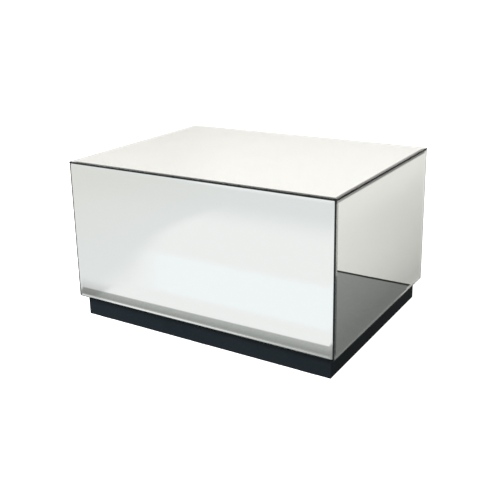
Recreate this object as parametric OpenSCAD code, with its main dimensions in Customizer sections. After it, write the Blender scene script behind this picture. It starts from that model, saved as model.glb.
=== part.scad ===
// Low mirror-clad display plinth: five bevelled mirror panes taped to a board
// carcass, standing on a recessed black plinth.
// X runs along the width, Y along the depth, and the origin is on the floor under the centre.

/* [Overall] */
// Width over the side panes, along X
overall_w = 800; // [600:10:1200]
// Depth over the front and rear panes, along Y
overall_d = 600; // [450:10:900]
// Height from the floor to the face of the top pane
overall_h = 455; // [380:5:700]

/* [Mirror panes] */
// Thickness of each pane
pane_t = 5; // [5:0.5:6]
// Width of the bevel ground round each face
bevel_w = 8; // [5:0.5:12]
// Depth that the bevel takes off at the pane's edge
bevel_drop = 0.8; // [0.6:0.1:2]
// Open gap where two panes meet at a corner of the box
pane_gap = 0.4; // [0.2:0.1:1]
// Thickness of the double-sided mounting tape behind each pane
tape_t = 1; // [0.8:0.1:2]
// Width of one strip of tape
tape_w = 25; // [12:1:40]

/* [Carcass] */
// Thickness of the carcass boards
board_t = 15; // [12:1:18]
// Side of the square battens glued into the corners
batten_w = 20; // [15:1:30]
// Radius of the dowels under the rib
dowel_r = 4; // [3:0.5:5]

/* [Plinth] */
// Height from the floor to the lower edge of the side panes
plinth_h = 60; // [50:5:100]
// How far the plinth stands back from the panes, on every side
plinth_inset = 17.5; // [12:0.5:20]
// Thickness of the plinth rails
rail_t = 15; // [12:1:18]
// Length of a corner block's two square sides
block_leg = 60; // [40:1:80]
// Height of a corner block
block_h = 30; // [25:1:32]
// Thickness of the felt pads under the rails
pad_t = 2; // [1:0.5:4]

/* [Fasteners] */
// Radius of a screw's shank
screw_r = 2; // [1.75:0.25:2.5]
// Radius of a screw's countersunk head
head_r = 4; // [3.5:0.25:5]
// Length of every screw
screw_len = 40; // [30:5:40]

/* [Hidden] */
$fn = 48;
over = 1;                       // how far a cutting tool runs past a surface
head_h = head_r - screw_r;      // a 90 degree countersink
point_h = 5;                    // length of a screw's point
point_r = 0.4;                  // radius left at the tip of the point
recess = [0.9, 4.4, 1.6];       // one bar of the cross recess in a screw's head
dowel_len = 30;
dowel_in_deck = 10;             // the deck's share of a dowel's length
pad_size = [50, 10];            // length and width of a felt pad with round ends

carcass_w = overall_w - 2 * (pane_t + tape_t);
carcass_d = overall_d - 2 * (pane_t + tape_t);
carcass_top = overall_h - pane_t - tape_t;
wall_top = carcass_top - board_t;
wall_h = wall_top - plinth_h;
deck_w = carcass_w - 2 * board_t;
deck_d = carcass_d - 2 * board_t;
deck_top = plinth_h + board_t;
deck_mid = plinth_h + board_t / 2;

side_pane_top = overall_h - pane_t - pane_gap;
side_pane_h = side_pane_top - plinth_h;
lap = pane_t + pane_gap;        // what a pane that covers another's edge takes off that one's width
front_pane_w = overall_w - lap; // covers the left pane, and is covered by the right one
left_pane_w = overall_d - 2 * lap;

plinth_w = overall_w - 2 * plinth_inset;
plinth_d = overall_d - 2 * plinth_inset;
plinth_inner_w = plinth_w - 2 * rail_t;
plinth_inner_d = plinth_d - 2 * rail_t;
rail_h = plinth_h - pad_t;

wall_mid_x = carcass_w / 2 - board_t / 2;   // middle of a side wall's thickness
wall_mid_y = carcass_d / 2 - board_t / 2;   // middle of the front or rear wall's thickness
wall_screw_z = [plinth_h + 40, plinth_h + wall_h / 2, wall_top - 40];
top_screw_x = [-0.38 * overall_w, 0, 0.38 * overall_w];
side_screw_y = [-0.23 * overall_d, 0.23 * overall_d];
deck_screw_x = [-0.3 * overall_w, 0, 0.3 * overall_w];
rail_screw_x = [-0.25 * overall_w, 0.25 * overall_w];
rail_screw_y = [-0.18 * overall_d, 0.18 * overall_d];
rail_screw_in = plinth_inset + 10.5;        // from the panes' faces to a rail screw
cross_screw_y = [-0.12 * overall_d, 0.12 * overall_d];
dowel_y = [-0.33 * overall_d, 0, 0.33 * overall_d];
pad_x = [-0.4 * overall_w, 0, 0.4 * overall_w];
block_screw_in = block_leg / 3;             // a screw at the middle of the triangle

mirror_colour = [0.87, 0.90, 0.89];
board_colour = [0.63, 0.48, 0.33];
black = [0.12, 0.14, 0.16];
pine = [0.82, 0.67, 0.46];
zinc = [0.74, 0.72, 0.62];

// ---- Mirror panes ----

// Wedge that grinds the bevel off one edge. It runs along X, with the edge at Y = 0.
module bevel_wedge(length) {
    slope = bevel_drop / bevel_w;
    rotate([90, 0, 90])
        linear_extrude(height = length + 2 * over, center = true)
            polygon([
                [-over, pane_t - bevel_drop - over * slope],
                [bevel_w, pane_t],
                [bevel_w, pane_t + over],
                [-over, pane_t + over]
            ]);
}

// Pane lying on Z = 0 with its bevelled face up, centred on the origin
module bevelled_pane(w, h) {
    color(mirror_colour)
        difference() {
            translate([-w / 2, -h / 2, 0]) cube([w, h, pane_t]);
            for (turn = [0, 180]) {
                rotate([0, 0, turn]) translate([0, -h / 2, 0]) bevel_wedge(w);
                rotate([0, 0, turn + 90]) translate([0, -w / 2, 0]) bevel_wedge(h);
            }
        }
}

// Stands a child up as a side of the box: turn 0 is the front, 90 the right, 180 the rear, 270 the left.
// The child's back lies at back_at from the box's axis, and its face looks outward.
module stand_up(turn, back_at) {
    rotate([0, 0, turn])
        translate([0, -back_at, plinth_h + side_pane_h / 2])
            rotate([90, 0, 0]) children();
}

module top_mirror() {
    translate([0, 0, overall_h - pane_t]) bevelled_pane(overall_w, overall_d);
}

module front_mirror() {
    translate([-lap / 2, 0, 0])
        stand_up(0, overall_d / 2 - pane_t) bevelled_pane(front_pane_w, side_pane_h);
}

module rear_mirror() {
    translate([-lap / 2, 0, 0])
        stand_up(180, overall_d / 2 - pane_t) bevelled_pane(front_pane_w, side_pane_h);
}

module left_mirror() {
    stand_up(270, overall_w / 2 - pane_t) bevelled_pane(left_pane_w, side_pane_h);
}

module right_mirror() {
    stand_up(90, overall_w / 2 - pane_t) bevelled_pane(overall_d, side_pane_h);
}

// ---- Mounting tape ----

// Parallel strips of tape on Z = 0, each one running along Y
module tape_strips(count, span, length) {
    color("whitesmoke")
        for (i = [0 : count - 1])
            translate([-span / 2 + i * span / (count - 1) - tape_w / 2, -length / 2, 0])
                cube([tape_w, length, tape_t]);
}

module top_mirror_tape() {
    translate([0, 0, carcass_top]) tape_strips(7, 0.9 * overall_w, 0.9 * overall_d);
}

module front_mirror_tape() {
    stand_up(0, carcass_d / 2) tape_strips(6, 0.85 * overall_w, 0.88 * wall_h);
}

module rear_mirror_tape() {
    stand_up(180, carcass_d / 2) tape_strips(6, 0.85 * overall_w, 0.88 * wall_h);
}

module left_mirror_tape() {
    stand_up(270, carcass_w / 2) tape_strips(5, 0.85 * overall_d, 0.88 * wall_h);
}

module right_mirror_tape() {
    stand_up(90, carcass_w / 2) tape_strips(5, 0.85 * overall_d, 0.88 * wall_h);
}

// ---- Screws ----

// Countersunk wood screw that points down, with the face of its head at Z = 0
module screw() {
    color(zinc)
        difference() {
            union() {
                translate([0, 0, -screw_len + point_h]) cylinder(h = screw_len - point_h, r = screw_r);
                translate([0, 0, -screw_len]) cylinder(h = point_h, r1 = point_r, r2 = screw_r);
                translate([0, 0, -head_h]) cylinder(h = head_h, r1 = screw_r, r2 = head_r);
            }
            for (turn = [0, 90])
                rotate([0, 0, turn])
                    translate([-recess[0] / 2, -recess[1] / 2, -recess[2]])
                        cube([recess[0], recess[1], recess[2] + over]);
        }
}

// The hole that a screw fills, with its countersink
module screw_hole() {
    translate([0, 0, -screw_len]) cylinder(h = screw_len + over, r = screw_r);
    translate([0, 0, -head_h]) cylinder(h = head_h, r1 = screw_r, r2 = head_r);
    cylinder(h = over, r = head_r);
}

// Front and rear walls to the ends of the side walls
module at_wall_screws(xs = [-1, 1], ys = [-1, 1]) {
    for (sx = xs, sy = ys, z = wall_screw_z)
        translate([sx * wall_mid_x, sy * carcass_d / 2, z]) rotate([-sy * 90, 0, 0]) children();
}

// Front and rear walls to the deck
module at_front_deck_screws(ys = [-1, 1]) {
    for (x = deck_screw_x, sy = ys)
        translate([x, sy * carcass_d / 2, deck_mid]) rotate([-sy * 90, 0, 0]) children();
}

// Side walls to the deck
module at_side_deck_screws(xs = [-1, 1]) {
    for (sx = xs, y = side_screw_y)
        translate([sx * carcass_w / 2, y, deck_mid]) rotate([0, sx * 90, 0]) children();
}

// Top board to the front and rear walls
module at_front_top_screws(ys = [-1, 1]) {
    for (x = top_screw_x, sy = ys)
        translate([x, sy * wall_mid_y, carcass_top]) children();
}

// Top board to the side walls and, at side 0, to the rib
module at_side_top_screws(xs = [-1, 0, 1]) {
    for (sx = xs, y = side_screw_y)
        translate([sx * wall_mid_x, y, carcass_top]) children();
}

// Deck down into the front and rear rails
module at_long_rail_screws(ys = [-1, 1]) {
    for (x = rail_screw_x, sy = ys)
        translate([x, sy * (overall_d / 2 - rail_screw_in), deck_top]) children();
}

// Deck down into the side rails
module at_short_rail_screws(xs = [-1, 1]) {
    for (sx = xs, y = rail_screw_y)
        translate([sx * (overall_w / 2 - rail_screw_in), y, deck_top]) children();
}

// Deck down into the cross rail
module at_cross_rail_screws() {
    for (y = cross_screw_y) translate([0, y, deck_top]) children();
}

// Corner blocks up into the deck
module at_block_screws() {
    for (sx = [-1, 1], sy = [-1, 1])
        translate([
            sx * (plinth_inner_w / 2 - block_screw_in),
            sy * (plinth_inner_d / 2 - block_screw_in),
            plinth_h - block_h
        ]) rotate([180, 0, 0]) children();
}

module wall_screws() {
    at_wall_screws() screw();
}

module deck_screws() {
    at_front_deck_screws() screw();
    at_side_deck_screws() screw();
}

module top_screws() {
    at_front_top_screws() screw();
    at_side_top_screws() screw();
}

module plinth_rail_screws() {
    at_long_rail_screws() screw();
    at_short_rail_screws() screw();
    at_cross_rail_screws() screw();
}

module plinth_block_screws() {
    at_block_screws() screw();
}

// ---- Carcass ----

// Board standing or lying with its centre at c
module board(size, c) {
    translate(c - size / 2) cube(size);
}

// Front wall for side -1, rear wall for side 1
module long_wall(side) {
    color(board_colour)
        difference() {
            board([carcass_w, board_t, wall_h], [0, side * wall_mid_y, plinth_h + wall_h / 2]);
            at_wall_screws(ys = [side]) screw_hole();
            at_front_deck_screws([side]) screw_hole();
            at_front_top_screws([side]) screw_hole();
        }
}

// Left wall for side -1, right wall for side 1
module short_wall(side) {
    color(board_colour)
        difference() {
            board([board_t, deck_d, wall_h], [side * wall_mid_x, 0, plinth_h + wall_h / 2]);
            at_wall_screws(xs = [side]) screw_hole();
            at_side_deck_screws([side]) screw_hole();
            at_side_top_screws([side]) screw_hole();
        }
}

module top_board() {
    color(board_colour)
        difference() {
            board([carcass_w, carcass_d, board_t], [0, 0, wall_top + board_t / 2]);
            at_front_top_screws() screw_hole();
            at_side_top_screws() screw_hole();
        }
}

module front_board() {
    long_wall(-1);
}

module rear_board() {
    long_wall(1);
}

module left_board() {
    short_wall(-1);
}

module right_board() {
    short_wall(1);
}

module dowels() {
    for (y = dowel_y)
        translate([0, y, deck_top - dowel_in_deck]) cylinder(h = dowel_len, r = dowel_r);
}

module deck_board() {
    color(board_colour)
        difference() {
            board([deck_w, deck_d, board_t], [0, 0, deck_mid]);
            at_front_deck_screws() screw_hole();
            at_side_deck_screws() screw_hole();
            at_long_rail_screws() screw_hole();
            at_short_rail_screws() screw_hole();
            at_cross_rail_screws() screw_hole();
            at_block_screws() screw_hole();
            dowels();
        }
}

module centre_rib() {
    rib_h = wall_top - deck_top;
    color(board_colour)
        difference() {
            board([board_t, deck_d, rib_h], [0, 0, deck_top + rib_h / 2]);
            at_side_top_screws([0]) screw_hole();
            dowels();
        }
}

module corner_battens() {
    batten_h = wall_h - 60;
    color(pine)
        for (sx = [-1, 1], sy = [-1, 1])
            board(
                [batten_w, batten_w, batten_h],
                [sx * (deck_w - batten_w) / 2, sy * (deck_d - batten_w) / 2, plinth_h + wall_h / 2]
            );
}

module rib_dowels() {
    color(pine) dowels();
}

// ---- Plinth ----

// Rail along the front, mitred at both ends; turned in steps of 90 degrees for the other sides
module mitred_rail(length, back_at, turn) {
    rotate([0, 0, turn])
        translate([0, -back_at, pad_t])
            linear_extrude(height = rail_h)
                polygon([
                    [-length / 2, 0],
                    [length / 2, 0],
                    [length / 2 - rail_t, rail_t],
                    [-length / 2 + rail_t, rail_t]
                ]);
}

module plinth_front_rail() {
    color(black)
        difference() {
            mitred_rail(plinth_w, plinth_d / 2, 0);
            at_long_rail_screws([-1]) screw_hole();
        }
}

module plinth_rear_rail() {
    color(black)
        difference() {
            mitred_rail(plinth_w, plinth_d / 2, 180);
            at_long_rail_screws([1]) screw_hole();
        }
}

module plinth_left_rail() {
    color(black)
        difference() {
            mitred_rail(plinth_d, plinth_w / 2, 270);
            at_short_rail_screws([-1]) screw_hole();
        }
}

module plinth_right_rail() {
    color(black)
        difference() {
            mitred_rail(plinth_d, plinth_w / 2, 90);
            at_short_rail_screws([1]) screw_hole();
        }
}

module plinth_cross_rail() {
    color(black)
        difference() {
            board([rail_t, plinth_inner_d, rail_h], [0, 0, pad_t + rail_h / 2]);
            at_cross_rail_screws() screw_hole();
        }
}

module plinth_corner_blocks() {
    color(pine)
        difference() {
            for (sx = [-1, 1], sy = [-1, 1])
                translate([sx * plinth_inner_w / 2, sy * plinth_inner_d / 2, plinth_h - block_h])
                    linear_extrude(height = block_h)
                        polygon([[0, 0], [-sx * block_leg, 0], [0, -sy * block_leg]]);
            at_block_screws() screw_hole();
        }
}

module felt_pads() {
    pad_y = plinth_d / 2 - rail_t / 2;
    straight = pad_size[0] - pad_size[1];
    color("dimgray")
        for (x = pad_x, sy = [-1, 1])
            translate([x, sy * pad_y, 0]) {
                translate([-straight / 2, -pad_size[1] / 2, 0]) cube([straight, pad_size[1], pad_t]);
                for (end = [-1, 1])
                    translate([end * straight / 2, 0, 0]) cylinder(h = pad_t, d = pad_size[1]);
            }
}

top_mirror();
front_mirror();
rear_mirror();
left_mirror();
right_mirror();
top_mirror_tape();
front_mirror_tape();
rear_mirror_tape();
left_mirror_tape();
right_mirror_tape();
top_board();
front_board();
rear_board();
left_board();
right_board();
deck_board();
centre_rib();
corner_battens();
rib_dowels();
wall_screws();
deck_screws();
top_screws();
plinth_front_rail();
plinth_rear_rail();
plinth_left_rail();
plinth_right_rail();
plinth_cross_rail();
plinth_corner_blocks();
plinth_rail_screws();
plinth_block_screws();
felt_pads();
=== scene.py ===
"""Looks for a mirror-clad display plinth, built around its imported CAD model.

Each mirror pane is a real slab of glass: clear bevelled glass in front, silvering on its back and
dark sealed edges. Lengths are in metres and directions are the CAD frame's: -Y is the front,
+X the right-hand side and +Z up.
"""

import math

import bmesh
import bpy
from mathutils import Matrix, Vector


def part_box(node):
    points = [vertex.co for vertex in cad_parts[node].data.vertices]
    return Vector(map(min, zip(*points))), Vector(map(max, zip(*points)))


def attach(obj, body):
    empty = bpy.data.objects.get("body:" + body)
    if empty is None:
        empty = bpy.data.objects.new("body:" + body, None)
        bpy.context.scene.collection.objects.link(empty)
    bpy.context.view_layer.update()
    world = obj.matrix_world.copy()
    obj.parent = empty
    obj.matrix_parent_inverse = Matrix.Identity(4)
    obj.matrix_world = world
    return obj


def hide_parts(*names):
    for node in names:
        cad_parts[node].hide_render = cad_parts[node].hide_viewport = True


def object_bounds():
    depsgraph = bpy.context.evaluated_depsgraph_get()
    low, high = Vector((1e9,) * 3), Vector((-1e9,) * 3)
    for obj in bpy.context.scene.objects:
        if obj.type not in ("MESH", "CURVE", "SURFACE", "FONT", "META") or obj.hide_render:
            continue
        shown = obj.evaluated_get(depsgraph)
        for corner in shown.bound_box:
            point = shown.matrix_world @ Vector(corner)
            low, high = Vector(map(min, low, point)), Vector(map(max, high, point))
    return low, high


# Panes
BEVEL_WIDTH = 0.008  # the ground bevel round each face
BEVEL_DROP = 0.0008  # what the bevel takes off at the edge
ARRIS = 0.0004  # the tiny chamfer that blunts a cut edge
SILVER_GAP = 0.0001  # keeps the silvering clear of the tape behind it
FACE_ROUGHNESS = 0.0
BEVEL_ROUGHNESS = 0.10
SMUDGE_ROUGHNESS = 0.045  # what a smudge adds to the glass's own roughness

# Edges of the boards, rails, battens, blocks and pads
ROUNDING_SEGMENTS = 3
ROUNDING_ANGLE = math.radians(40)  # an edge that turns less than this stays as it is

# Camera
CAMERA_TARGET = Vector((-0.0495, 0.0, 0.316))
CAMERA_AZIMUTH = math.radians(32.4)
CAMERA_ELEVATION = math.radians(16.0)
CAMERA_ROLL = math.radians(-1.22)
CAMERA_DISTANCE = 2.196
CAMERA_LENS_MM = 55.25
CAMERA_SENSOR_MM = 36.0
CAMERA_SHIFT = (0.0255, -0.10)


# ---- Node helpers ----


def add_node(tree, kind, inputs=None, **settings):
    """Adds a shader node. A value in inputs is either a number or colour, or a socket to link from."""
    made = tree.nodes.new(kind)
    for name, value in settings.items():
        setattr(made, name, value)
    for name, value in (inputs or {}).items():
        if isinstance(value, bpy.types.NodeSocket):
            tree.links.new(value, made.inputs[name])
        else:
            made.inputs[name].default_value = value
    return made


def calculate(tree, operation, *values):
    """The output of a Math node. Each value is a number or a socket."""
    return add_node(tree, "ShaderNodeMath", dict(enumerate(values)), operation=operation).outputs[0]


def product(tree, first, second):
    """The product of two numbers or sockets."""
    return calculate(tree, "MULTIPLY", first, second)


def smooth_step(tree, value, start, end, low=0.0, high=1.0):
    """Goes smoothly from low, where value is start, to high, where value is end."""
    inputs = {"Value": value, "From Min": start, "From Max": end, "To Min": low, "To Max": high}
    made = add_node(tree, "ShaderNodeMapRange", inputs, interpolation_type="SMOOTHSTEP")
    return made.outputs["Result"]


def mix_colours(tree, share, first, second):
    """Mixes two colours, each a tuple or a socket."""
    made = add_node(tree, "ShaderNodeMix", data_type="RGBA")
    sockets = {s.identifier: s for s in made.inputs}
    for name, value in (("Factor_Float", share), ("A_Color", first), ("B_Color", second)):
        if isinstance(value, bpy.types.NodeSocket):
            tree.links.new(value, sockets[name])
        elif name == "Factor_Float":
            sockets[name].default_value = value
        else:
            sockets[name].default_value = (*value, 1.0)
    return next(s for s in made.outputs if s.identifier == "Result_Color")


def position(tree):
    """The point being shaded, in the CAD frame."""
    return add_node(tree, "ShaderNodeTexCoord").outputs["Object"]


def stretched(tree, scale):
    """The point being shaded, with each axis scaled."""
    return add_node(tree, "ShaderNodeMapping", {"Vector": position(tree), "Scale": scale}).outputs[0]


def noise(tree, vector, scale, detail=2.0, roughness=0.5, distortion=0.0):
    """The value of a noise texture, from 0 to 1."""
    inputs = {
        "Vector": vector,
        "Scale": scale,
        "Detail": detail,
        "Roughness": roughness,
        "Distortion": distortion,
    }
    return add_node(tree, "ShaderNodeTexNoise", inputs).outputs["Fac"]


def bump(tree, height, distance, strength=1.0):
    """A normal that follows a height of 0 to 1, where 1 is distance above the surface."""
    inputs = {"Height": height, "Distance": distance, "Strength": strength}
    return add_node(tree, "ShaderNodeBump", inputs).outputs["Normal"]


def new_material(name):
    """A material with nothing but its output, and its node tree."""
    made = bpy.data.materials.new(name)
    made.use_nodes = True
    made.node_tree.nodes.clear()
    return made, made.node_tree


def finish_material(tree, inputs):
    """Ends a material with one Principled shader."""
    shader = add_node(tree, "ShaderNodeBsdfPrincipled", inputs)
    add_node(tree, "ShaderNodeOutputMaterial", {"Surface": shader.outputs[0]})


# ---- Materials ----


def clear_glass(name, roughness):
    """Faintly green glass of the given roughness, with wiped smudges that are a little rougher."""
    made, tree = new_material(name)
    smudges = noise(tree, stretched(tree, (3.0, 3.0, 7.0)), scale=1.6, detail=5.0, distortion=0.8)
    smudged = roughness + SMUDGE_ROUGHNESS
    finish_material(
        tree,
        {
            "Base Color": (0.972, 0.992, 0.982, 1.0),
            "Transmission Weight": 1.0,
            "IOR": 1.52,
            "Roughness": smooth_step(tree, smudges, 0.50, 0.72, roughness, smudged),
        },
    )
    return made


def silvering():
    """The silver coat behind the glass. Its slight waves come from the float glass."""
    made, tree = new_material("silvering")
    waves = noise(tree, position(tree), scale=5.0, detail=1.0)
    haze = noise(tree, position(tree), scale=60.0, detail=3.0)
    finish_material(
        tree,
        {
            "Base Color": (0.93, 0.945, 0.935, 1.0),
            "Metallic": 1.0,
            "Roughness": smooth_step(tree, haze, 0.3, 0.8, 0.0, 0.02),
            "Normal": bump(tree, waves, distance=0.00008),
        },
    )
    return made


def sealed_edge():
    """The ground edge of a pane, under the dark green-black sealer that keeps damp off the silver."""
    made, tree = new_material("sealed_edge")
    along = noise(tree, position(tree), scale=90.0, detail=4.0)
    finish_material(
        tree,
        {
            "Base Color": mix_colours(tree, along, (0.0035, 0.0050, 0.0050), (0.010, 0.013, 0.013)),
            "Roughness": smooth_step(tree, along, 0.3, 0.7, 0.25, 0.45),
            "Specular IOR Level": 0.03,
            "Normal": bump(tree, along, distance=0.00003),
        },
    )
    return made


def black_lacquer():
    """Satin black lacquer on fibreboard: orange peel, fine dust and softly rubbed patches."""
    made, tree = new_material("black_lacquer")
    peel = noise(tree, position(tree), scale=420.0, detail=2.0)
    patches = noise(tree, position(tree), scale=9.0, detail=6.0, roughness=0.6)
    dust = smooth_step(tree, noise(tree, position(tree), scale=1900.0, detail=1.0), 0.70, 0.80)
    tone = mix_colours(tree, patches, (0.0033, 0.0050, 0.0064), (0.0056, 0.0078, 0.0096))
    dusty = mix_colours(tree, product(tree, dust, 0.35), tone, (0.05, 0.05, 0.05))
    finish_material(
        tree,
        {
            "Base Color": dusty,
            "Roughness": smooth_step(tree, patches, 0.25, 0.75, 0.27, 0.42),
            "Specular IOR Level": 0.03,
            "Normal": bump(tree, peel, distance=0.00006, strength=0.6),
        },
    )
    return made


def fibreboard():
    """Raw fibreboard: pale skinned faces with short fibres and dark specks."""
    made, tree = new_material("fibreboard")
    fibres = noise(tree, stretched(tree, (260.0, 900.0, 700.0)), scale=1.0, detail=5.0, roughness=0.7)
    clouds = noise(tree, position(tree), scale=7.0, detail=5.0, roughness=0.6)
    specks = smooth_step(tree, noise(tree, position(tree), scale=1200.0, detail=1.0), 0.68, 0.76)
    pale = mix_colours(tree, fibres, (0.50, 0.35, 0.21), (0.66, 0.50, 0.33))
    clouded = mix_colours(tree, product(tree, clouds, 0.35), pale, (0.42, 0.30, 0.19))
    specked = mix_colours(tree, product(tree, specks, 0.7), clouded, (0.16, 0.10, 0.06))
    finish_material(
        tree,
        {
            "Base Color": specked,
            "Roughness": smooth_step(tree, fibres, 0.2, 0.8, 0.70, 0.88),
            "Normal": bump(tree, fibres, distance=0.00012, strength=0.7),
        },
    )
    return made


def pine(name, grain_axis):
    """Planed softwood with its growth rings stretched along grain_axis, 0 for X or 2 for Z."""
    made, tree = new_material(name)
    ring_scale = [14.0, 14.0, 14.0]
    ring_scale[grain_axis] = 0.6
    rings = add_node(
        tree,
        "ShaderNodeTexWave",
        {
            "Vector": stretched(tree, ring_scale),
            "Scale": 2.6,
            "Distortion": 7.0,
            "Detail": 3.0,
            "Detail Scale": 1.4,
        },
        wave_type="RINGS",
        rings_direction="XYZ"[grain_axis],
        wave_profile="SAW",
    ).outputs["Fac"]
    pore_scale = [900.0, 900.0, 900.0]
    pore_scale[grain_axis] = 12.0
    pores = noise(tree, stretched(tree, pore_scale), scale=1.0, detail=4.0, roughness=0.7)
    wood = mix_colours(tree, rings, (0.74, 0.54, 0.31), (0.52, 0.32, 0.15))
    pored = mix_colours(tree, product(tree, pores, 0.30), wood, (0.40, 0.25, 0.12))
    finish_material(
        tree,
        {
            "Base Color": pored,
            "Roughness": smooth_step(tree, pores, 0.3, 0.8, 0.55, 0.75),
            "Normal": bump(tree, pores, distance=0.00008),
        },
    )
    return made


def zinc_steel():
    """Yellow-passivated zinc plate, its tint drifting between gold and a green-pink film."""
    made, tree = new_material("zinc_steel")
    film = noise(tree, position(tree), scale=260.0, detail=3.0, distortion=1.2)
    grain = noise(tree, position(tree), scale=3500.0, detail=2.0)
    finish_material(
        tree,
        {
            "Base Color": mix_colours(tree, film, (0.80, 0.68, 0.36), (0.66, 0.70, 0.58)),
            "Metallic": 1.0,
            "Roughness": smooth_step(tree, grain, 0.3, 0.7, 0.24, 0.38),
            "Normal": bump(tree, grain, distance=0.00001),
        },
    )
    return made


def foam_tape():
    """White closed-cell foam tape."""
    made, tree = new_material("foam_tape")
    cells = add_node(
        tree, "ShaderNodeTexVoronoi", {"Vector": position(tree), "Scale": 1800.0}
    ).outputs["Distance"]
    finish_material(
        tree,
        {
            "Base Color": mix_colours(tree, cells, (0.62, 0.62, 0.60), (0.90, 0.90, 0.87)),
            "Roughness": 0.85,
            "Normal": bump(tree, cells, distance=0.00015),
        },
    )
    return made


def needle_felt():
    """Dark grey needle felt: tangled fibres with a soft sheen."""
    made, tree = new_material("needle_felt")
    tangle = noise(tree, position(tree), scale=1300.0, detail=6.0, roughness=0.75, distortion=2.5)
    finish_material(
        tree,
        {
            "Base Color": mix_colours(tree, tangle, (0.020, 0.020, 0.022), (0.115, 0.115, 0.120)),
            "Roughness": 0.95,
            "Sheen Weight": 0.5,
            "Sheen Roughness": 0.5,
            "Normal": bump(tree, tangle, distance=0.0005),
        },
    )
    return made


# ---- Mirror panes ----


def pane_axes(direction):
    """Right-handed in-plane axes for a pane that faces direction."""
    up = Vector((0, 1, 0)) if abs(direction.z) > 0.5 else Vector((0, 0, 1))
    return up.cross(direction), up


def bevelled_pane(node, direction, materials):
    """Builds the slab that stands for a CAD pane, facing direction. It is one closed mesh.

    materials are its face glass, bevel glass, silvering and edge, in that order.
    """
    face_glass, bevel_glass, silver, edge = range(len(materials))
    low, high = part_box(node)
    middle = (low + high) / 2
    size = high - low
    across, up = pane_axes(direction)
    half_width = abs(size.dot(across)) / 2
    half_height = abs(size.dot(up)) / 2
    thickness = abs(size.dot(direction))
    face = middle + direction * thickness / 2
    slope = BEVEL_DROP / BEVEL_WIDTH

    mesh = bmesh.new()

    def ring(inset, depth):
        """Four corners, inset from the pane's outline and depth behind its face."""
        corners = ((-1, -1), (1, -1), (1, 1), (-1, 1))
        return [
            mesh.verts.new(
                face
                + across * side * (half_width - inset)
                + up * end * (half_height - inset)
                - direction * depth
            )
            for side, end in corners
        ]

    rings = [
        ring(BEVEL_WIDTH, 0.0),
        ring(ARRIS, BEVEL_DROP - ARRIS * slope),
        ring(0.0, BEVEL_DROP + ARRIS),
        ring(0.0, thickness - SILVER_GAP - ARRIS),
        ring(ARRIS, thickness - SILVER_GAP),
    ]
    band_materials = (bevel_glass, edge, edge, edge)
    for back, front, material in zip(rings[1:], rings, band_materials):
        for i in range(4):
            j = (i + 1) % 4
            mesh.faces.new((back[i], back[j], front[j], front[i])).material_index = material
    mesh.faces.new(rings[0]).material_index = face_glass
    mesh.faces.new(reversed(rings[-1])).material_index = silver

    data = bpy.data.meshes.new(node + "_pane")
    mesh.to_mesh(data)
    mesh.free()
    for material in materials:
        data.materials.append(material)
    piece = bpy.data.objects.new(node + "_pane", data)
    bpy.context.scene.collection.objects.link(piece)
    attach(piece, "root")
    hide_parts(node)
    return piece


def build_panes():
    """The five mirror panes."""
    materials = (
        clear_glass("face_glass", FACE_ROUGHNESS),
        clear_glass("bevel_glass", BEVEL_ROUGHNESS),
        silvering(),
        sealed_edge(),
    )
    facing = {
        "top_mirror": (0, 0, 1),
        "front_mirror": (0, -1, 0),
        "rear_mirror": (0, 1, 0),
        "left_mirror": (-1, 0, 0),
        "right_mirror": (1, 0, 0),
    }
    for node, direction in facing.items():
        bevelled_pane(node, Vector(direction), materials)


# ---- CAD nodes that keep their own shape ----


def dress(names, material, edge_radius=0.0):
    """Gives CAD nodes a material and, where edge_radius isn't 0, softly rounded edges."""
    for name in names:
        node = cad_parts[name]
        node.data.materials.clear()
        node.data.materials.append(material)
        for polygon in node.data.polygons:
            polygon.material_index = 0
        if edge_radius:
            rounding = node.modifiers.new("rounded_edges", "BEVEL")
            rounding.width = edge_radius
            rounding.segments = ROUNDING_SEGMENTS
            rounding.limit_method = "ANGLE"
            rounding.angle_limit = ROUNDING_ANGLE
            rounding.harden_normals = False


def dress_cad_nodes():
    """Every CAD node that isn't replaced gets its finish."""
    sides = ("top", "front", "rear", "left", "right")
    rails = ("front", "rear", "left", "right", "cross")
    dress([f"plinth_{rail}_rail" for rail in rails], black_lacquer(), edge_radius=0.0006)
    boards = [f"{side}_board" for side in sides] + ["deck_board", "centre_rib"]
    dress(boards, fibreboard(), edge_radius=0.0004)
    dress([f"{side}_mirror_tape" for side in sides], foam_tape())
    dress(["corner_battens", "rib_dowels"], pine("pine_upright", 2), edge_radius=0.0008)
    dress(["plinth_corner_blocks"], pine("pine_flat", 0), edge_radius=0.0008)
    screws = ("wall_screws", "deck_screws", "top_screws", "plinth_rail_screws", "plinth_block_screws")
    dress(screws, zinc_steel())
    dress(["felt_pads"], needle_felt(), edge_radius=0.0004)


# ---- Stage ----

FLOOR_SIZE = 40.0
REFLECTED_FLOOR_HEIGHT = -0.001  # just under the floor that the camera sees

# Round the plinth the mirrors show a grey board, and beyond it pale paper, painted onto a glowing card
# with painted light and painted shadows
BOARD_LEFT = -0.80
BOARD_FRONT = -0.4635
BOARD_SLANT = 0.014  # how far its front edge is out of square, per metre along X
BOARD_SOFTNESS = 0.004  # half the width over which its front edge blurs
BOARD_BACK = 0.372
EDGE_SHADOW_WIDTH = 0.015  # width of the painted shadow line along the board's back edge

STUDIO_WHITE = (1.0, 0.965, 0.93, 1.0)
# The painted light that glows from the board and the paper, standing in for how they look when lit
# painted light along the board's front edge, where the object's painted shade thins out
BOARD_FRONT_LIGHT = (0.47, 0.475, 0.46)
BOARD = (0.33, 0.335, 0.325)
BOARD_SPECK = (0.14, 0.14, 0.13)
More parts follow.
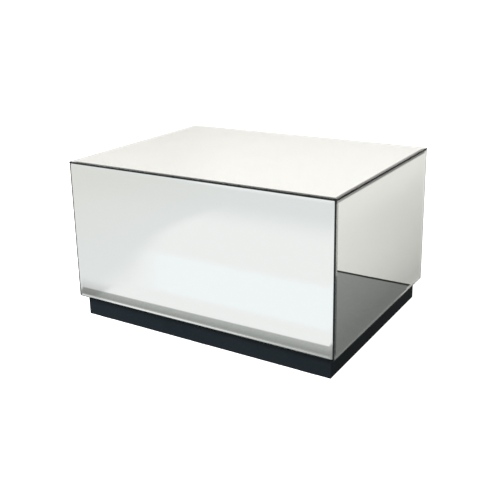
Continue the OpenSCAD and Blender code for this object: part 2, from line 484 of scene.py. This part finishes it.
# the painted shadow along the board's back edge
BOARD_EDGE_SHADOW = (0.05, 0.05, 0.045)
SIDE_PAPER = (0.838, 0.820, 0.782)
FAR_LEFT_PAPER = (0.74, 0.725, 0.70)
FAR_RIGHT_PAPER = (0.76, 0.77, 0.78)
# the painted pool of light on the near paper
LIGHT_POOL_PAPER = (0.895, 0.88, 0.885)
LIT_PAPER = (0.92, 0.94, 0.96)

# Where the reflected floor changes smoothly: the start and the end of each change, along X or Y
FAR_PAPER_X = (-1.6, -0.3)  # from the far paper's left-hand tint to its right-hand one
LIGHT_POOL_Y = (-1.50, -1.15)  # into the painted pool of light on the near paper
NEAR_END_Y = (-1.10, -0.50)  # the stretch over which the left-hand end of that painted pool of light moves right
NEAR_END_START_X = (-0.72, -0.58)  # where it starts to come in, at the front and back of that stretch
NEAR_END_FULL_X = (-0.62, -0.38)  # where it has come in, at the same two places
LIT_FRONT_Y = (-0.86, -0.79)  # into the lit band from in front
LIT_BACK_Y = (-0.53, -0.57)  # into it from behind
LIT_END_X = (-0.04, 0.15)  # into it from the left, where that slanting end would meet Y = 0
LIT_END_SLANT = 0.75  # how far the end moves right, per metre towards the back
SIDE_PAPER_Y = (-0.45, -0.20)  # into the paper beside the object
FRONT_LIGHT_Y = (-0.415, -0.457)  # into the painted light at the board's front edge
FRONT_LIGHT_X = (-0.60, -0.20)  # from half that painted light's strength to all of it
BACK_Y = (0.2, 1.3)  # into the dimmer light at the back
BACK_X = (1.05, 0.7)  # into it from the right
LEFT_END_Y = (-0.55, -0.42)  # into the dimmer light beside the object's left-hand end
LEFT_END_X = (-0.435, -0.480)  # into it from the object

# The object's soft shadow at its two ends
SHADOW_START = 0.48  # how far to each side it is deepest
SHADOW_UNDER = (-0.42, -0.05)  # where it comes in from under the object, measured from there
SHADOW_FADE = 0.21  # the distance over which it fades outwards to 1/e
SHADOW_DEPTH = 0.42  # the share of the light that it takes at its deepest
SHADOW_Y = (-0.46, -0.25)  # into it from in front


def flat_square(name, size, height):
    """A square of that size round the origin, facing up."""
    half = size / 2
    data = bpy.data.meshes.new(name)
    corners = [(-half, -half, height), (half, -half, height), (half, half, height), (-half, half, height)]
    data.from_pydata(corners, [], [(0, 1, 2, 3)])
    made = bpy.data.objects.new(name, data)
    bpy.context.scene.collection.objects.link(made)
    return made


def pale_floor():
    """The floor that the camera sees: white, with a faint contact shadow. Mirrors don't see it."""
    floor = flat_square("stage_floor", FLOOR_SIZE, 0.0)
    made, tree = new_material("stage_floor")
    glow = add_node(tree, "ShaderNodeEmission", {"Color": (1, 1, 1, 1), "Strength": 1.0})
    paper = add_node(tree, "ShaderNodeBsdfDiffuse", {"Color": (0.35, 0.35, 0.35, 1)})
    total = add_node(tree, "ShaderNodeAddShader", {0: glow.outputs[0], 1: paper.outputs[0]})
    add_node(tree, "ShaderNodeOutputMaterial", {"Surface": total.outputs[0]})
    floor.data.materials.append(made)
    floor.visible_glossy = False
    floor.visible_transmission = False


def paper_colour(tree, x, y):
    """The pale paper: its far tints, a painted pool of light on the near paper, the lit band and the
    paper beside the object.
    """
    far = mix_colours(tree, smooth_step(tree, x, *FAR_PAPER_X), FAR_LEFT_PAPER, FAR_RIGHT_PAPER)

    # the painted pool of light on the near paper, whose left-hand end slants
    end_start = smooth_step(tree, y, *NEAR_END_Y, *NEAR_END_START_X)
    end_full = smooth_step(tree, y, *NEAR_END_Y, *NEAR_END_FULL_X)
    light_pool = smooth_step(tree, x, end_start, end_full, low=0.15, high=1.0)
    light_pool = product(tree, light_pool, smooth_step(tree, y, *LIGHT_POOL_Y))

    lit = product(tree, smooth_step(tree, y, *LIT_FRONT_Y), smooth_step(tree, y, *LIT_BACK_Y))
    along_band = calculate(tree, "SUBTRACT", x, product(tree, y, LIT_END_SLANT))
    lit = product(tree, smooth_step(tree, along_band, *LIT_END_X), lit)

    paper = mix_colours(tree, light_pool, far, LIGHT_POOL_PAPER)
    paper = mix_colours(tree, lit, paper, LIT_PAPER)
    return mix_colours(tree, smooth_step(tree, y, *SIDE_PAPER_Y), paper, SIDE_PAPER)


def board_colour(tree, x, slanted_y):
    """The grey board, mottled with dark specks, with painted light along its front edge."""
    # painted light along the board's front edge, half as strong towards the left
    strength = smooth_step(tree, x, *FRONT_LIGHT_X, low=0.5, high=1.0)
    front_light = product(tree, smooth_step(tree, slanted_y, *FRONT_LIGHT_Y), strength)
    specks = noise(tree, position(tree), scale=230.0, detail=3.0, roughness=0.6)
    mottling = smooth_step(tree, specks, 0.35, 0.65, low=0.0, high=0.24)
    return mix_colours(tree, mottling, mix_colours(tree, front_light, BOARD, BOARD_FRONT_LIGHT), BOARD_SPECK)


def floor_colour(tree, x, y):
    """The board with a painted shadow line along its back edge, and the paper round it."""
    slanted_y = calculate(tree, "ADD", y, product(tree, x, BOARD_SLANT))
    behind_front = smooth_step(
        tree, slanted_y, BOARD_FRONT - BOARD_SOFTNESS, BOARD_FRONT + BOARD_SOFTNESS
    )
    right_of_left = calculate(tree, "GREATER_THAN", x, BOARD_LEFT)
    before_back = calculate(tree, "LESS_THAN", y, BOARD_BACK)
    on_board = product(tree, behind_front, product(tree, right_of_left, before_back))
    colour = mix_colours(tree, on_board, paper_colour(tree, x, y), board_colour(tree, x, slanted_y))
    # the painted shadow line along the board's back edge
    edge_shadow = product(tree, calculate(tree, "COMPARE", y, BOARD_BACK, EDGE_SHADOW_WIDTH / 2), right_of_left)
    return mix_colours(tree, edge_shadow, colour, BOARD_EDGE_SHADOW)


def shadow_light(tree, x, y, side):
    """What the shadow leaves of the light at the object's right-hand (1) or left-hand (-1) end."""
    beyond = calculate(tree, "SUBTRACT", product(tree, x, side), SHADOW_START)
    distance = calculate(tree, "MAXIMUM", beyond, 0.0)
    fading = calculate(tree, "EXPONENT", calculate(tree, "DIVIDE", distance, -SHADOW_FADE))
    outside = smooth_step(tree, beyond, *SHADOW_UNDER)
    along_side = smooth_step(tree, y, *SHADOW_Y)
    depth = product(tree, product(tree, fading, outside), product(tree, along_side, SHADOW_DEPTH))
    return calculate(tree, "SUBTRACT", 1.0, depth)


def floor_light(tree, x, y):
    """How bright the floor is: dimmer at the back, at the left-hand end and in the shadows."""
    back = product(tree, smooth_step(tree, y, *BACK_Y), smooth_step(tree, x, *BACK_X))
    left_end = product(tree, smooth_step(tree, x, *LEFT_END_X), smooth_step(tree, y, *LEFT_END_Y))
    light = smooth_step(tree, back, 0.0, 1.0, low=1.04, high=0.93)
    light = product(tree, light, smooth_step(tree, left_end, 0.0, 1.0, low=1.0, high=0.72))
    for side in (1, -1):
        light = product(tree, light, shadow_light(tree, x, y, side))
    return light


def reflected_floor():
    """The floor that only the mirrors see: a glowing card with a grey board on pale paper, with painted
    light and painted shadows as if lit from the front.
    """
    floor = flat_square("stage_reflected_floor", FLOOR_SIZE, REFLECTED_FLOOR_HEIGHT)
    made, tree = new_material("stage_reflected_floor")
    axes = add_node(tree, "ShaderNodeSeparateXYZ", {"Vector": position(tree)})
    x, y = axes.outputs["X"], axes.outputs["Y"]
    inputs = {"Color": floor_colour(tree, x, y), "Strength": floor_light(tree, x, y)}
    glow = add_node(tree, "ShaderNodeEmission", inputs)
    add_node(tree, "ShaderNodeOutputMaterial", {"Surface": glow.outputs[0]})
    floor.data.materials.append(made)
    floor.visible_camera = False
    floor.visible_diffuse = False
    floor.visible_shadow = False


def studio_walls():
    """A white studio. The camera sees plain white. The mirrors see it darken low down and overhead."""
    world = bpy.data.worlds.new("studio")
    world.use_nodes = True
    tree = world.node_tree
    tree.nodes.clear()
    direction = add_node(tree, "ShaderNodeTexCoord").outputs["Generated"]
    axes = add_node(tree, "ShaderNodeSeparateXYZ", {"Vector": direction})
    x, z = axes.outputs["X"], axes.outputs["Z"]
    low_down = smooth_step(tree, z, start=0.0, end=0.245, low=0.48, high=1.10)
    far_left = smooth_step(tree, x, start=-0.60, end=-0.52, low=0.945, high=1.0)
    overhead = smooth_step(tree, z, start=0.42, end=0.95, low=1.0, high=0.80)
    in_mirrors = product(tree, product(tree, low_down, far_left), overhead)
    camera_ray = add_node(tree, "ShaderNodeLightPath").outputs["Is Camera Ray"]
    strength = smooth_step(tree, camera_ray, 0.0, 1.0, low=in_mirrors, high=1.2)
    light = add_node(tree, "ShaderNodeBackground", {"Color": STUDIO_WHITE, "Strength": strength})
    add_node(tree, "ShaderNodeOutputWorld", {"Surface": light.outputs[0]})
    bpy.context.scene.world = world


def soft_light(name, place, size, power):
    """A square area light at place, aimed at the object. It doesn't show in the mirrors."""
    data = bpy.data.lights.new(name, "AREA")
    data.shape = "SQUARE"
    data.size = size
    data.energy = power
    light = bpy.data.objects.new(name, data)
    bpy.context.scene.collection.objects.link(light)
    light.location = place
    centre = (cad_box[0] + cad_box[1]) / 2
    light.rotation_mode = "QUATERNION"
    light.rotation_quaternion = (centre - light.location).to_track_quat("-Z", "Y")
    light.visible_glossy = False
    light.visible_transmission = False


def build_stage():
    """The two floors, the studio round them and its lights."""
    pale_floor()
    reflected_floor()
    studio_walls()
    soft_light("key_light", place=(-2.0, -2.6, 2.4), size=1.6, power=560.0)
    soft_light("fill_light", place=(2.6, -1.0, 2.2), size=1.8, power=2.0)


def build_camera():
    """Looks at the object's front and right-hand side from above its top."""
    camera = bpy.data.objects.new("camera", bpy.data.cameras.new("camera"))
    bpy.context.scene.collection.objects.link(camera)
    ground = math.cos(CAMERA_ELEVATION)
    back = Vector(
        (
            math.sin(CAMERA_AZIMUTH) * ground,
            -math.cos(CAMERA_AZIMUTH) * ground,
            math.sin(CAMERA_ELEVATION),
        )
    )
    camera.rotation_mode = "QUATERNION"
    roll = Matrix.Rotation(CAMERA_ROLL, 3, "Z").to_quaternion()
    camera.rotation_quaternion = (-back).to_track_quat("-Z", "Y") @ roll
    camera.location = CAMERA_TARGET + back * CAMERA_DISTANCE
    camera.data.sensor_width = CAMERA_SENSOR_MM
    camera.data.lens = CAMERA_LENS_MM
    camera.data.shift_x, camera.data.shift_y = CAMERA_SHIFT
    camera.data.clip_start = 0.05
    camera.data.clip_end = 100.0
    bpy.context.scene.camera = camera


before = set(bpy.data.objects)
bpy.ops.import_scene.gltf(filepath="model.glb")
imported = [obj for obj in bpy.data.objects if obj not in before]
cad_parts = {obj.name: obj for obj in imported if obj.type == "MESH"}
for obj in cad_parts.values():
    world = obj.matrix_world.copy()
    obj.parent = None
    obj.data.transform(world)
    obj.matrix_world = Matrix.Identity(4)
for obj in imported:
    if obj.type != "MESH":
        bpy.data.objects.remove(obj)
cad_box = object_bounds()

bpy.context.scene.view_settings.view_transform = "Standard"
build_camera()
build_stage()
build_panes()
dress_cad_nodes()
